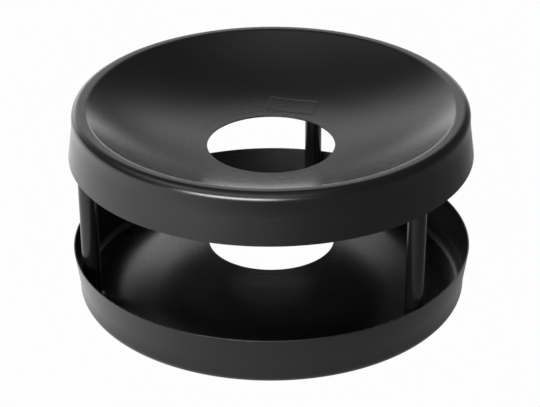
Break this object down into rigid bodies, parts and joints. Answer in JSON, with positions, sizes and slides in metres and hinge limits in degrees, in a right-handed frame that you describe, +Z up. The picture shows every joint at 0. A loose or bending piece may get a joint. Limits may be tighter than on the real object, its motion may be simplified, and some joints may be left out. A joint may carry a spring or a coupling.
{
  "type": "umbrella stand",
  "caption": "Low round umbrella stand: two dished steel rings, the upper rim down and the lower rim up as a drip tray, joined by welded tube posts.",
  "frame": {"origin": "on the floor, on the common axis of the two holes", "axes": "+Z up along the axis of the holes, -Y towards the front, +X to the right seen from the front"},
  "size_m": [0.335, 0.335, 0.168],
  "materials": {
    "sheet_paint": "satin black powder coat on spun and folded sheet steel",
    "tube_paint": "satin black powder coat on steel tube",
    "weld_paint": "satin black powder coat on a weld bead"
  },
  "bodies": {
    "root": {"upper_dish": "sheet_paint", "lower_dish": "sheet_paint", "right_post": "tube_paint", "back_post": "tube_paint", "left_post": "tube_paint", "right_upper_weld": "weld_paint", "back_upper_weld": "weld_paint", "left_upper_weld": "weld_paint", "right_lower_weld": "weld_paint", "back_lower_weld": "weld_paint", "left_lower_weld": "weld_paint"}
  },
  "joints": []
}
